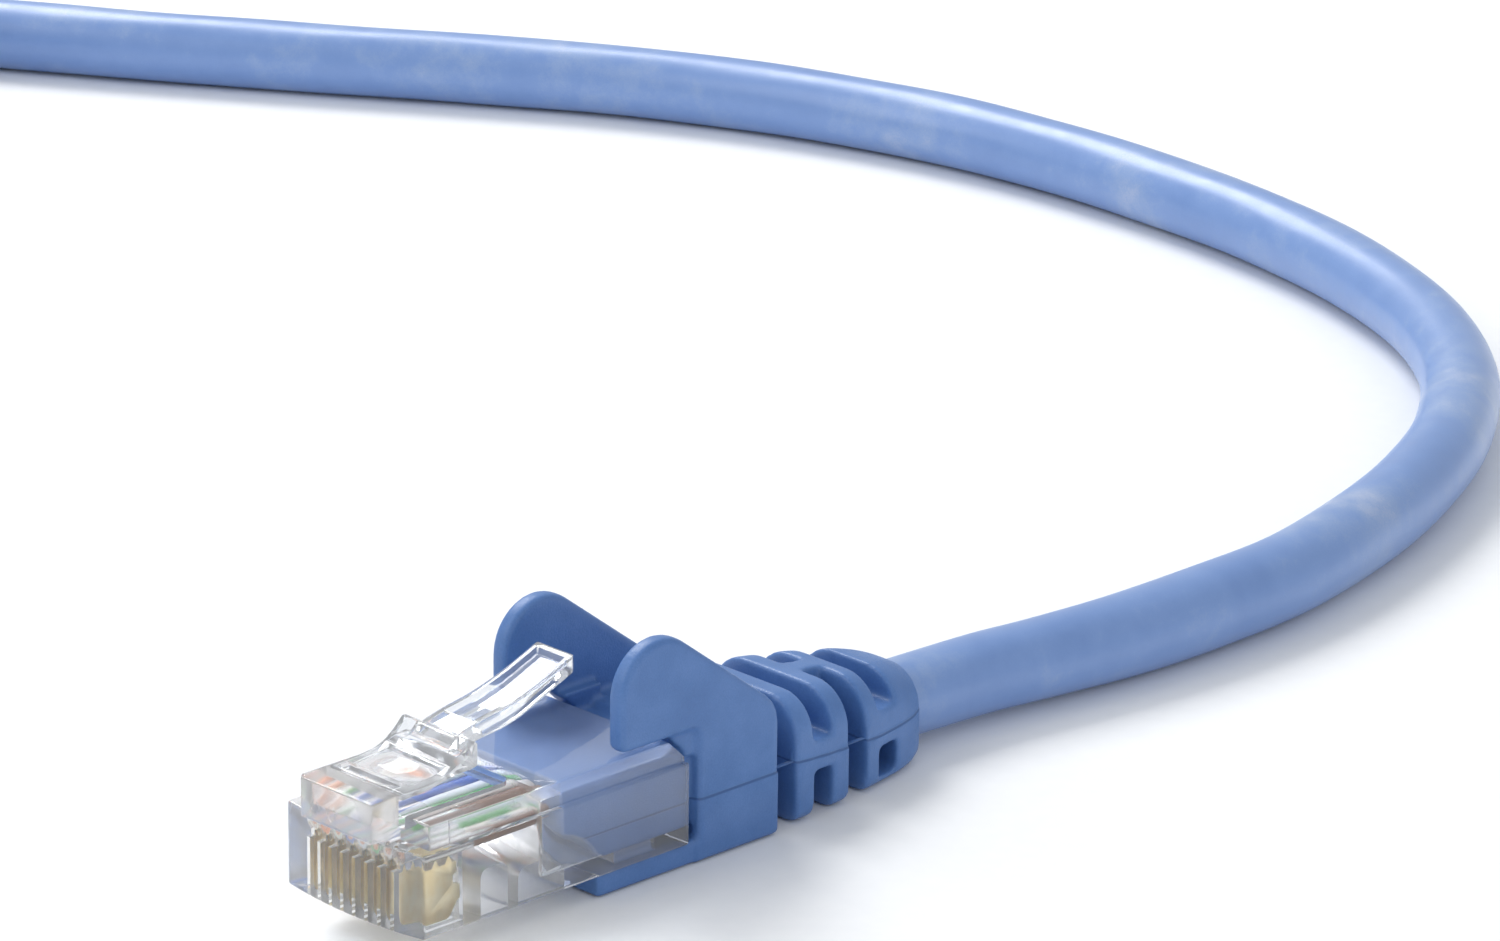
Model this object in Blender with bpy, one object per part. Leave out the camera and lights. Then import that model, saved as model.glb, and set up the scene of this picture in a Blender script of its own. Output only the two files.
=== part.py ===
"""Ethernet patch cable: a round blue cable with a latched 8-contact plug and moulded boot on each end.

The part stands on its surface at z = 0. The near plug lies along Y with its mating face toward -Y, its
latch up and its cable leaving toward +Y, and its own pieces are centred on the origin in X and Y.
The cable runs in a loose bend to a tied coil, and the far plug lies beside that coil.

Plug dimensions are in millimetres in the plug's own frame: the front of the nose is y = 0, the
underside of the housing is z = 0, x = 0 is the middle, and contact 1 is on the -X side.
"""

import math

import bmesh
import bpy
from mathutils import Vector

MM = 0.001

# Plug housing, an 8-position modular plug.
HOUSING_HALF_WIDTH = 5.84
HOUSING_LENGTH = 22.4
SHOULDER_HEIGHT = 5.2
DECK_HALF_WIDTH = 5.52
DECK_FRONT = 2.2
DECK_HEIGHT = 6.72
FRONT_FACE = 1.35
FRONT_BOW = 0.5
TROUGH_HALF_WIDTH = 3.45
TROUGH_REAR = 10.4
TROUGH_FLOOR = 5.9
NOSE_HALF_WIDTH = 3.05
NOSE_REAR = 2.15
NOSE_HEIGHT = 7.85
NOSE_UNDERSIDE = 5.4
CAVITY_HALF_WIDTH = 5.0
CAVITY_FRONT = 11.0
CAVITY_FLOOR = 0.9
CAVITY_ROOF = 5.85
CRIMP_WINDOW_FRONT = 9.4
CRIMP_WINDOW_REAR = 13.0
CRIMP_WINDOW_HALF_WIDTH = 3.3
CRIMP_WINDOW_TOP = 1.9

# Contacts and conductors.
CONTACT_COUNT = 8
CONTACT_PITCH = 1.02
CONTACT_THICKNESS = 0.3
SLOT_WIDTH = 0.42
SLOT_REAR = 5.45
SLOT_TOP = 3.3
CONTACT_FRONT = 1.75
CONTACT_REAR = 5.25
CONTACT_BOTTOM = 0.35
BLADE_TOP = 3.05
WIRE_RADIUS = 0.475
WIRE_HEIGHT = 4.45
WIRE_FRONT = 2.1
WIRE_CLEARANCE = 0.05
WIRE_SIDES = 12

# Latch: the plate turns about the living hinge behind the nose.
HINGE_Y = 2.46
HINGE_Z = 7.72
HINGE_RADIUS = 0.24
LATCH_HALF_WIDTH = 3.05
LOCK_SHOULDER = 8.18
LEVER_HALF_WIDTH = 1.62
LEVER_REAR = 17.25
LEVER_RIM = 0.4
LEVER_POCKET_DEPTH = 0.4

# Moulded boot: insert inside the housing, key through its floor, sole, eared cheeks, strain relief.
BOOT_HALF_WIDTH = 5.6
BOOT_FRONT = 23.3
BOOT_REAR_FACE = 30.0
BOOT_END = 44.6
BOOT_BOTTOM = -1.45
BOOT_TOP = 6.15
INSERT_HALF_WIDTH = 4.92
INSERT_FRONT = 12.6
INSERT_TOP = 5.77
INSERT_BOTTOM = 1.0
KEY_HALF_WIDTH = 3.6
KEY_FRONT = 17.3
KEY_REAR = 20.3
KEY_CLEARANCE = 0.1
SOLE_FRONT = 15.3
SOLE_TOP = -0.08
CHEEK_THICKNESS = 1.25
EAR_FRONT = 17.1
EAR_BOTTOM = 6.95
EAR_CREST_RADIUS = 3.2
EAR_CREST_HEIGHT = 13.3
EAR_SLOPE = math.radians(37)
CORE_RADIUS = 3.1
CORE_HEIGHT = 1.8
SPINE_HALF_WIDTH = 0.8
SIDE_WEB_BOTTOM = 1.2
SIDE_WEB_TOP = 3.3
# Slots in the strain relief, front to back. Side slots leave a spine above and below, and level
# slots leave a web on each side.
SIDE_SLOTS = [(29.5, 31.6), (36.5, 38.1)]
LEVEL_SLOTS = [(33.2, 34.9), (39.5, 41.3)]

# Strain relief sections: station along the plug, half width, bottom, top, top corner radius.
RELIEF_SECTIONS = [
    (28.6, 5.30, -1.45, 6.20, 2.4),
    (30.4, 5.45, -1.45, 6.35, 2.4),
    (34.0, 5.30, -1.45, 6.15, 2.6),
    (38.0, 4.85, -1.45, 5.75, 2.8),
    (40.0, 4.50, -1.45, 5.45, 2.8),
    (42.0, 4.10, -1.45, 5.15, 2.8),
    (43.2, 3.70, -1.43, 4.85, 2.7),
    (44.0, 3.30, -1.40, 4.55, 2.5),
    (BOOT_END, 2.95, -1.38, 4.25, 2.3),
]
RELIEF_FOOT_RADIUS = 0.9

# Where each plug's frame stands.
PLUG_ORIGINS = {"near": (0.0, -BOOT_END / 2, -BOOT_BOTTOM), "far": (-213.0, -20.9, -BOOT_BOTTOM)}

# Cable, in millimetres in the part's frame.
CABLE_RADIUS = 2.75
CABLE_STEP = 12.0
LEAD_ROUTE = [
    (0.0, 22.6, 2.90),
    (0.2, 28.7, 2.85),
    (1.1, 34.7, 2.80),
    (1.9, 41.7, 2.75),
    (2.1, 49.2, 2.75),
    (1.5, 58.2, 2.75),
    (-0.8, 67.7, 2.75),
    (-4.3, 77.2, 2.75),
    (-9.6, 87.0, 2.75),
    (-17.3, 96.3, 2.75),
    (-27.2, 103.5, 2.75),
    (-38.8, 108.5, 2.75),
    (-51.0, 111.3, 2.75),
    (-64.0, 112.5, 2.75),
    (-77.0, 112.2, 2.75),
    (-89.0, 109.9, 2.75),
    (-100.5, 105.9, 2.75),
    (-112.0, 99.9, 2.75),
    (-124.0, 92.0, 2.75),
    (-137.0, 83.4, 2.75),
    (-150.5, 75.2, 2.75),
    (-167.5, 65.3, 2.75),
]
TAIL_ROUTE = [
    (-142.3, 48.5, 7.60),
    (-148.7, 55.5, 7.75),
    (-156.6, 60.6, 8.35),
    (-164.4, 63.3, 8.65),
    (-173.3, 64.1, 8.65),
    (-182.0, 62.7, 8.25),
    (-190.2, 59.2, 7.45),
    (-197.4, 54.0, 6.45),
    (-202.3, 48.2, 5.60),
    (-207.0, 42.0, 4.40),
    (-209.7, 37.6, 3.70),
    (-211.5, 33.3, 3.20),
    (-212.6, 28.7, 2.95),
    (-213.0, 24.0, 2.90),
]

# Coil of the stored length: four turns, two beside each other and two on top.
COIL_CENTRE = (-172.0, 27.7)
COIL_MIDDLE_RADIUS = 27.5
COIL_HALF_WIDTH = 5.6
COIL_BOTTOM = 0.85
COIL_TOP = 11.8
COIL_CORNER_RADIUS = 2.6
COIL_STEPS = 56
TIE_ANGLE = math.radians(250)
TIE_HALF_SPREAD = math.radians(9)
TIE_GAP = 0.3
TIE_THICKNESS = 0.55
TIE_STEPS = 4

# Insulation colours of conductors 1 to 8.
WIRE_COLOURS = [
    (0.90, 0.72, 0.55),
    (0.85, 0.30, 0.05),
    (0.70, 0.85, 0.68),
    (0.05, 0.16, 0.55),
    (0.62, 0.72, 0.88),
    (0.06, 0.40, 0.13),
    (0.72, 0.62, 0.55),
    (0.22, 0.11, 0.06),
]


def clear_scene():
    """Remove whatever the scene holds."""
    for thing in list(bpy.data.objects):
        bpy.data.objects.remove(thing, do_unlink=True)


def make_material(name, colour, roughness, metallic=0.0, alpha=1.0):
    """Return a plain Principled material."""
    material = bpy.data.materials.new(name)
    material.use_nodes = True
    shader = material.node_tree.nodes["Principled BSDF"]
    shader.inputs["Base Color"].default_value = (*colour, 1.0)
    shader.inputs["Roughness"].default_value = roughness
    shader.inputs["Metallic"].default_value = metallic
    shader.inputs["Alpha"].default_value = alpha
    material.diffuse_color = (*colour, alpha)
    return material


def add_object(name, mesh):
    """Put a mesh into the scene as a new object."""
    thing = bpy.data.objects.new(name, mesh)
    bpy.context.scene.collection.objects.link(thing)
    return thing


def solid(name, shape):
    """Turn a bmesh in millimetres into an object in metres with its faces pointing out."""
    bmesh.ops.recalc_face_normals(shape, faces=shape.faces)
    bmesh.ops.scale(shape, vec=(MM, MM, MM), verts=shape.verts)
    mesh = bpy.data.meshes.new(name)
    shape.to_mesh(mesh)
    shape.free()
    return add_object(name, mesh)


def prism(name, outline, axis, start, end):
    """Extrude a closed outline along X, Y or Z.

    The outline's points are (y, z) for axis X, (x, z) for axis Y and (x, y) for axis Z.
    """
    def place(point, depth):
        first, second = point
        if axis == "X":
            return (depth, first, second)
        if axis == "Y":
            return (first, depth, second)
        return (first, second, depth)

    shape = bmesh.new()
    near = [shape.verts.new(place(point, start)) for point in outline]
    far = [shape.verts.new(place(point, end)) for point in outline]
    shape.faces.new(near)
    shape.faces.new(list(reversed(far)))
    for index in range(len(outline)):
        following = (index + 1) % len(outline)
        shape.faces.new((near[following], near[index], far[index], far[following]))
    return solid(name, shape)


def box(name, half_width, front, rear, bottom, top):
    """Return a box centred across x = 0."""
    outline = [(front, bottom), (rear, bottom), (rear, top), (front, top)]
    return prism(name, outline, "X", -half_width, half_width)


def loft(name, sections):
    """Join rings of points, all of the same count, into one closed body."""
    shape = bmesh.new()
    rings = [[shape.verts.new(point) for point in section] for section in sections]
    for ring, following in zip(rings, rings[1:]):
        for index in range(len(ring)):
            after = (index + 1) % len(ring)
            shape.faces.new((ring[index], ring[after], following[after], following[index]))
    shape.faces.new(rings[0])
    shape.faces.new(rings[-1])
    return solid(name, shape)


def arc(centre, radius, start_degrees, end_degrees, steps):
    """Return points along an arc, both ends included."""
    points = []
    for step in range(steps + 1):
        angle = math.radians(start_degrees + (end_degrees - start_degrees) * step / steps)
        points.append((centre[0] + radius * math.cos(angle), centre[1] + radius * math.sin(angle)))
    return points


def mirrored(outline):
    """Return the outline reflected in its first coordinate."""
    return [(-first, second) for first, second in reversed(outline)]


def combine(body, tool, operation):
    """Add a Boolean of one object to another, and hide the tool."""
    modifier = body.modifiers.new(tool.name, "BOOLEAN")
    modifier.operation = operation
    modifier.solver = "EXACT"
    modifier.object = tool
    tool.hide_render = True
    tool.display_type = "WIRE"


def soften(body, width, segments=1, angle=40.0):
    """Bevel a body's sharp edges."""
    modifier = body.modifiers.new("edges", "BEVEL")
    modifier.width = width * MM
    modifier.segments = segments
    modifier.limit_method = "ANGLE"
    modifier.angle_limit = math.radians(angle)


def baked(body, smooth_angle=35.0):
    """Apply a body's modifiers, remove their tools, and return the mesh."""
    bpy.context.view_layer.update()
    graph = bpy.context.evaluated_depsgraph_get()
    mesh = bpy.data.meshes.new_from_object(body.evaluated_get(graph))
    mesh.name = body.name
    tools = [modifier.object for modifier in body.modifiers if modifier.type == "BOOLEAN"]
    for thing in [body, *tools]:
        bpy.data.objects.remove(thing, do_unlink=True)
    mesh.shade_smooth()
    mesh.set_sharp_from_angle(angle=math.radians(smooth_angle))
    return mesh


def contact_x(index):
    """Return the x of contact and conductor number index + 1."""
    return (index - (CONTACT_COUNT - 1) / 2) * CONTACT_PITCH


def front_outline():
    """Return the lower body's outline from above, with its gently bowed front."""
    corner = 0.3
    inner = HOUSING_HALF_WIDTH - corner
    bow_steps = 8
    points = []
    for step in range(bow_steps + 1):
        x = inner * (2 * step / bow_steps - 1)
        points.append((x, FRONT_FACE - FRONT_BOW * (1 - (x / inner) ** 2)))
    right = arc((inner, FRONT_FACE + corner), corner, -60, 0, 2)
    rear = [(HOUSING_HALF_WIDTH, HOUSING_LENGTH), (-HOUSING_HALF_WIDTH, HOUSING_LENGTH)]
    left = arc((-inner, FRONT_FACE + corner), corner, 180, 240, 2)
    return points + right + rear + left


def housing_mesh():
    """Clear housing with its nose, deck, trough, contact slots, wire channel and rear cavity."""
    rear_slope = [(HOUSING_LENGTH - 1.4, DECK_HEIGHT), (HOUSING_LENGTH - 0.1, SHOULDER_HEIGHT + 0.3)]
    deck = prism(
        "deck",
        [(DECK_FRONT, 4.4), (DECK_FRONT, DECK_HEIGHT), *rear_slope, (HOUSING_LENGTH - 0.1, 4.4)],
        "X", -DECK_HALF_WIDTH, DECK_HALF_WIDTH)
    soften(deck, 0.12)
    trough = box("trough", TROUGH_HALF_WIDTH, 1.0, TROUGH_REAR, TROUGH_FLOOR, DECK_HEIGHT + 1)
    combine(deck, trough, "DIFFERENCE")

    nose_foot = DECK_FRONT + 0.8
    nose = prism(
        "nose",
        [(0.0, NOSE_UNDERSIDE), (0.0, NOSE_HEIGHT), (NOSE_REAR, NOSE_HEIGHT + 0.1),
         (NOSE_REAR, TROUGH_FLOOR - 0.05), (nose_foot, TROUGH_FLOOR - 0.05), (nose_foot, 4.4),
         (1.0, 4.4), (1.0, NOSE_UNDERSIDE)],
        "X", -NOSE_HALF_WIDTH, NOSE_HALF_WIDTH)
    soften(nose, 0.1)

    body = prism("body", front_outline(), "Z", 0.0, SHOULDER_HEIGHT)
    soften(body, 0.15)

    housing = box("housing", 1.0, 8.0, 9.0, 4.5, 5.5)
    for part in (body, deck, nose):
        combine(housing, part, "UNION")

    slot_outline = [(-1.0, -1.0), (-1.0, SLOT_TOP), (1.95, SLOT_TOP), (1.95, WIRE_HEIGHT),
                    (SLOT_REAR, WIRE_HEIGHT), (SLOT_REAR, -1.0)]
    for index in range(CONTACT_COUNT):
        middle = contact_x(index)
        slot = prism(f"slot_{index + 1}", slot_outline, "X",
                     middle - SLOT_WIDTH / 2, middle + SLOT_WIDTH / 2)
        combine(housing, slot, "DIFFERENCE")

    channel_half_width = contact_x(CONTACT_COUNT - 1) + WIRE_RADIUS + WIRE_CLEARANCE
    channel_half_height = WIRE_RADIUS + WIRE_CLEARANCE
    channel = box("channel", channel_half_width, WIRE_FRONT - 0.1, CAVITY_FRONT + 0.5,
                  WIRE_HEIGHT - channel_half_height, WIRE_HEIGHT + channel_half_height)
    cavity = box("cavity", CAVITY_HALF_WIDTH, CAVITY_FRONT, HOUSING_LENGTH + 1,
                 CAVITY_FLOOR, CAVITY_ROOF)
    window = box("window", CRIMP_WINDOW_HALF_WIDTH, CRIMP_WINDOW_FRONT, CRIMP_WINDOW_REAR,
                 -1.0, CRIMP_WINDOW_TOP)
    keyhole = box("keyhole", KEY_HALF_WIDTH + KEY_CLEARANCE, KEY_FRONT - KEY_CLEARANCE,
                  KEY_REAR + KEY_CLEARANCE, -1.0, CAVITY_FLOOR + 0.5)
    for tool in (channel, cavity, window, keyhole):
        combine(housing, tool, "DIFFERENCE")
    return baked(housing)


def latch_mesh():
    """Latch plate with its two lock shoulders and the long lever, drawn about the hinge axis."""
    front_edge = arc((HINGE_Y, HINGE_Z), HINGE_RADIUS, 270, 90, 6)
    plate = prism(
        "plate",
        [*front_edge, (4.0, 7.98), (5.5, 8.1), (6.4, 8.42), (7.1, 8.88), (7.6, 9.38), (7.85, 9.56),
         (LOCK_SHOULDER, 9.5), (LOCK_SHOULDER, 8.05), (7.6, 7.94), (6.0, 7.88), (4.5, 7.58)],
        "X", -LATCH_HALF_WIDTH, LATCH_HALF_WIDTH)
    soften(plate, 0.1, angle=50.0)
    lever = prism(
        "lever",
        [(7.4, 9.0), (7.7, 9.5), (9.5, 9.93), (11.8, 10.33), (14.0, 10.92), (15.7, 11.55),
         (LEVER_REAR - 0.1, 12.1), (LEVER_REAR, 11.9), (LEVER_REAR, 11.15), (16.4, 10.76),
         (14.7, 10.1), (12.8, 9.36), (11.2, 9.0), (9.5, 8.82), (7.4, 8.3)],
        "X", -LEVER_HALF_WIDTH, LEVER_HALF_WIDTH)
    soften(lever, 0.12, angle=50.0)
    pocket_front = 9.6
    pocket_rear = LEVER_REAR - 0.7
    pocket = prism(
        "pocket",
        [(pocket_front, 9.95 - LEVER_POCKET_DEPTH), (11.8, 10.33 - LEVER_POCKET_DEPTH),
         (14.0, 10.92 - LEVER_POCKET_DEPTH), (pocket_rear, 11.85 - LEVER_POCKET_DEPTH),
         (pocket_rear, 13.5), (pocket_front, 13.5)],
        "X", LEVER_RIM - LEVER_HALF_WIDTH, LEVER_HALF_WIDTH - LEVER_RIM)
    combine(plate, lever, "UNION")
    combine(plate, pocket, "DIFFERENCE")
    mesh = baked(plate)
    mesh.name = "latch"
    for vertex in mesh.vertices:
        vertex.co -= Vector((0.0, HINGE_Y, HINGE_Z)) * MM
    return mesh


def contact_mesh():
    """Gold contact blade with two piercing tines, centred on x = 0."""
    toe = arc((CONTACT_FRONT + 0.6, CONTACT_BOTTOM + 0.6), 0.6, 270, 180, 4)
    tine_top = WIRE_HEIGHT - WIRE_RADIUS - 0.03
    outline = [*toe, (CONTACT_FRONT, BLADE_TOP)]
    for tine in (2.3, 3.9):
        outline += [(tine, BLADE_TOP), (tine + 0.2, tine_top), (tine + 0.4, tine_top),
                    (tine + 0.6, BLADE_TOP)]
    outline += [(CONTACT_REAR, BLADE_TOP), (CONTACT_REAR, 1.6), (CONTACT_REAR - 0.4, 1.6),
                (CONTACT_REAR - 0.4, 0.9), (CONTACT_REAR - 0.9, CONTACT_BOTTOM)]
    blade = prism("contact", outline, "X", -CONTACT_THICKNESS / 2, CONTACT_THICKNESS / 2)
    return baked(blade)


def wire_mesh():
    """Insulated conductor, centred on x = 0, from the housing's front wall to the boot's insert."""
    sections = []
    for y in (WIRE_FRONT, INSERT_FRONT - 0.1):
        ring = arc((0.0, WIRE_HEIGHT), WIRE_RADIUS, 0, 360 - 360 / WIRE_SIDES, WIRE_SIDES - 1)
        sections.append([(x, y, z) for x, z in ring])
    return baked(loft("wire", sections))


def cheek_outline():
    """Return the side outline of a cheek: the boot's side with the ear that rises over the latch."""
    crest_centre = (EAR_FRONT + EAR_CREST_RADIUS, EAR_CREST_HEIGHT - EAR_CREST_RADIUS)
    crest = arc(crest_centre, EAR_CREST_RADIUS, 180, 90 - math.degrees(EAR_SLOPE), 10)
    slope_end_y = BOOT_REAR_FACE - 1.0
    slope_end_z = crest[-1][1] - (slope_end_y - crest[-1][0]) * math.tan(EAR_SLOPE)
    return [(EAR_FRONT + 0.25, EAR_BOTTOM), (EAR_FRONT, EAR_BOTTOM + 0.25), *crest,
            (slope_end_y, slope_end_z), (BOOT_REAR_FACE - 0.25, slope_end_z - 0.85),
            (BOOT_REAR_FACE, slope_end_z - 1.8), (BOOT_REAR_FACE, BOOT_BOTTOM),
            (BOOT_FRONT, BOOT_BOTTOM), (BOOT_FRONT, EAR_BOTTOM)]


def relief_ring(station, half_width, bottom, top, corner):
    """Return one section of the strain relief: a box with round upper and tighter lower corners."""
    foot = RELIEF_FOOT_RADIUS
    steps = 4
    points = arc((half_width - corner, top - corner), corner, 0, 90, steps)
    points += arc((corner - half_width, top - corner), corner, 90, 180, steps)
    points += arc((foot - half_width, bottom + foot), foot, 180, 270, 2)
    points += arc((half_width - foot, bottom + foot), foot, 270, 360, 2)
    return [(x, station, z) for x, z in points]


def side_slot_outline():
    """Return the right-hand cut of a side slot, from the spine round the core."""
    lean = math.degrees(math.asin(SPINE_HALF_WIDTH / CORE_RADIUS))
    inner = arc((0.0, CORE_HEIGHT), CORE_RADIUS, lean - 90, 90 - lean, 12)
    return [*inner, (SPINE_HALF_WIDTH, 9.0), (9.0, 9.0), (9.0, -4.0), (SPINE_HALF_WIDTH, -4.0)]


def level_slot_outline(level, outside):
    """Return the cut of a level slot above or below the side webs."""
    tilt = math.degrees(math.asin((level - CORE_HEIGHT) / CORE_RADIUS))
    if outside > level:
        inner = arc((0.0, CORE_HEIGHT), CORE_RADIUS, 180 - tilt, tilt, 12)
    else:
        inner = arc((0.0, CORE_HEIGHT), CORE_RADIUS, 180 - tilt, 360 + tilt, 12)
    return [*inner, (9.0, level), (9.0, outside), (-9.0, outside), (-9.0, level)]


def boot_mesh():
    """Moulded boot: insert, key, sole, two eared cheeks and slotted strain relief in one piece."""
    relief = loft("relief", [relief_ring(*section) for section in RELIEF_SECTIONS])
    right = side_slot_outline()
    for front, rear in SIDE_SLOTS:
        for side, outline in (("right", right), ("left", mirrored(right))):
            combine(relief, prism(f"slot_{side}_{front}", outline, "Y", front, rear), "DIFFERENCE")
    for front, rear in LEVEL_SLOTS:
        upper = prism(f"slot_upper_{front}", level_slot_outline(SIDE_WEB_TOP, 9.0), "Y", front, rear)
        lower = prism(f"slot_lower_{front}", level_slot_outline(SIDE_WEB_BOTTOM, -4.0), "Y", front, rear)
        combine(relief, upper, "DIFFERENCE")
        combine(relief, lower, "DIFFERENCE")
    slotted = add_object("slotted", baked(relief))

    insert = prism(
        "insert",
        [(INSERT_FRONT, INSERT_TOP), (INSERT_FRONT, 3.1), (13.6, 2.8), (14.8, 1.95), (15.4, 1.1),
         (17.0, INSERT_BOTTOM), (BOOT_FRONT + 0.5, INSERT_BOTTOM), (BOOT_FRONT + 0.5, INSERT_TOP)],
        "X", -INSERT_HALF_WIDTH, INSERT_HALF_WIDTH)
    key = box("key", KEY_HALF_WIDTH, KEY_FRONT, KEY_REAR, SOLE_TOP - 0.4, INSERT_BOTTOM + 0.5)
    sole = box("sole", BOOT_HALF_WIDTH - 0.05, SOLE_FRONT, BOOT_FRONT + 0.5, BOOT_BOTTOM, SOLE_TOP)
    soften(sole, 0.2)

    shell = box("boot", BOOT_HALF_WIDTH - CHEEK_THICKNESS / 2, BOOT_FRONT + 0.02,
                BOOT_REAR_FACE - 0.02, BOOT_BOTTOM + 0.02, BOOT_TOP)
    cheeks = []
    for side in (-1, 1):
        inner = side * (BOOT_HALF_WIDTH - CHEEK_THICKNESS)
        outer = side * BOOT_HALF_WIDTH
        cheek = prism(f"cheek_{side}", cheek_outline(), "X", min(inner, outer), max(inner, outer))
        soften(cheek, 0.3, segments=2, angle=60.0)
        cheeks.append(cheek)
    for part in (*cheeks, slotted, insert, key, sole):
        combine(shell, part, "UNION")
    return baked(shell)


def smooth_route(points, spacing):
    """Read evenly spaced points from a smooth curve through the route's own points."""
    knots = [Vector(point) for point in points]
    knots = [knots[0] * 2 - knots[1], *knots, knots[-1] * 2 - knots[-2]]
    fine = []
    pieces = 24
    for before, start, end, after in zip(knots, knots[1:], knots[2:], knots[3:]):
        for piece in range(pieces):
            t = piece / pieces
            fine.append(0.5 * (2 * start + (end - before) * t
                               + (2 * before - 5 * start + 4 * end - after) * t ** 2
                               + (3 * start - before - 3 * end + after) * t ** 3))
    fine.append(knots[-2])
    lengths = [0.0]
    for start, end in zip(fine, fine[1:]):
        lengths.append(lengths[-1] + (end - start).length)
    count = max(2, round(lengths[-1] / spacing))
    route = []
    index = 0
    for step in range(count + 1):
        target = lengths[-1] * step / count
        while index < len(fine) - 2 and lengths[index + 1] < target:
            index += 1
        share = (target - lengths[index]) / (lengths[index + 1] - lengths[index])
        route.append(fine[index].lerp(fine[index + 1], share))
    return route


def cable_tube(name, points, spacing):
    """Return a round tube along a smooth route."""
    route = smooth_route(points, spacing)
    curve = bpy.data.curves.new(name, "CURVE")
    curve.dimensions = "3D"
    curve.bevel_depth = CABLE_RADIUS * MM
    curve.bevel_resolution = 3
    curve.use_fill_caps = True
    spline = curve.splines.new("POLY")
    spline.points.add(len(route) - 1)
    for point, place in zip(spline.points, route):
        point.co = (*(place * MM), 1.0)
    return add_object(name, curve)


def coil_profile(margin):
    """Return the coil's section as (radius, height) points, grown outward by a margin."""
    corner = COIL_CORNER_RADIUS + margin
    inner = COIL_MIDDLE_RADIUS - COIL_HALF_WIDTH - margin
    outer = COIL_MIDDLE_RADIUS + COIL_HALF_WIDTH + margin
    bottom = COIL_BOTTOM - margin
    top = COIL_TOP + margin
    steps = 3
    points = arc((outer - corner, bottom + corner), corner, 270, 360, steps)
    points += arc((outer - corner, top - corner), corner, 0, 90, steps)
    points += arc((inner + corner, top - corner), corner, 90, 180, steps)
    points += arc((inner + corner, bottom + corner), corner, 180, 270, steps)
    return points


def on_coil(profile, angle):
    """Place a section's points at an angle round the coil's axis."""
    centre_x, centre_y = COIL_CENTRE
    return [(centre_x + radius * math.cos(angle), centre_y + radius * math.sin(angle), height)
            for radius, height in profile]


def coil_ring():
    """Return the turned ring that stands for the coiled length."""
    shape = bmesh.new()
    profile = coil_profile(0.0)
    rings = []
    for step in range(COIL_STEPS):
        angle = 2 * math.pi * step / COIL_STEPS
        rings.append([shape.verts.new(point) for point in on_coil(profile, angle)])
    for ring, following in zip(rings, rings[1:] + rings[:1]):
        for index in range(len(ring)):
            after = (index + 1) % len(ring)
            shape.faces.new((ring[index], ring[after], following[after], following[index]))
    return add_object("cable_coil", baked(solid("cable_coil", shape), 50.0))


def coil_tie():
    """Return the strap round the coil, bent to the coil's own curve."""
    inner = coil_profile(TIE_GAP)
    outer = coil_profile(TIE_GAP + TIE_THICKNESS)
    shape = bmesh.new()
    rings = []
    for step in range(TIE_STEPS + 1):
        angle = TIE_ANGLE + TIE_HALF_SPREAD * (2 * step / TIE_STEPS - 1)
        rings.append(([shape.verts.new(point) for point in on_coil(inner, angle)],
                      [shape.verts.new(point) for point in on_coil(outer, angle)]))
    count = len(inner)
    for (near_in, near_out), (far_in, far_out) in zip(rings, rings[1:]):
        for index in range(count):
            after = (index + 1) % count
            shape.faces.new((near_out[index], near_out[after], far_out[after], far_out[index]))
            shape.faces.new((near_in[after], near_in[index], far_in[index], far_in[after]))
    for inside, outside in (rings[0], rings[-1]):
        for index in range(count):
            after = (index + 1) % count
            shape.faces.new((inside[index], inside[after], outside[after], outside[index]))
    return add_object("cable_tie", baked(solid("cable_tie", shape), 50.0))


def place_piece(name, mesh, material, parent, location=(0.0, 0.0, 0.0)):
    """Add one plug piece under its plug's empty; pieces of both plugs share a mesh."""
    piece = add_object(name, mesh)
    piece.parent = parent
    piece.location = Vector(location) * MM
    piece.material_slots[0].link = "OBJECT"
    piece.material_slots[0].material = material
    return piece


def give_slot(mesh):
    """Leave a mesh with exactly one material slot."""
    mesh.materials.clear()
    mesh.materials.append(None)
    return mesh


def build_plug(side, meshes):
    """Add the pieces of one plug and its boot."""
    root = bpy.data.objects.new(f"{side}_plug", None)
    bpy.context.scene.collection.objects.link(root)
    root.location = Vector(PLUG_ORIGINS[side]) * MM
    clear = (0.86, 0.88, 0.90)
    place_piece(f"{side}_housing", meshes["housing"],
                make_material(f"{side}_housing", clear, 0.08, alpha=0.35), root)
    place_piece(f"{side}_latch", meshes["latch"],
                make_material(f"{side}_latch", clear, 0.08, alpha=0.35), root,
                (0.0, HINGE_Y, HINGE_Z))
    place_piece(f"{side}_boot", meshes["boot"],
                make_material(f"{side}_boot", (0.10, 0.22, 0.50), 0.45), root)
    for index in range(CONTACT_COUNT):
        number = index + 1
        across = (contact_x(index), 0.0, 0.0)
        place_piece(f"{side}_contact_{number}", meshes["contact"],
                    make_material(f"{side}_contact_{number}", (0.83, 0.62, 0.22), 0.22, metallic=1.0),
                    root, across)
        place_piece(f"{side}_wire_{number}", meshes["wire"],
                    make_material(f"{side}_wire_{number}", WIRE_COLOURS[index], 0.4), root, across)


def build_cable():
    """Add the free cable: the lead, the coil, its tie and the tail to the far plug."""
    jacket = (0.16, 0.34, 0.68)
    lead = cable_tube("cable_lead", LEAD_ROUTE, CABLE_STEP)
    tail = cable_tube("cable_tail", TAIL_ROUTE, CABLE_STEP / 2)
    for piece in (lead, tail):
        piece.data.materials.append(make_material(piece.name, jacket, 0.35))
    coil = coil_ring()
    coil.data.materials.append(make_material("cable_coil", jacket, 0.35))
    tie = coil_tie()
    tie.data.materials.append(make_material("cable_tie", (0.03, 0.03, 0.035), 0.8))


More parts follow.
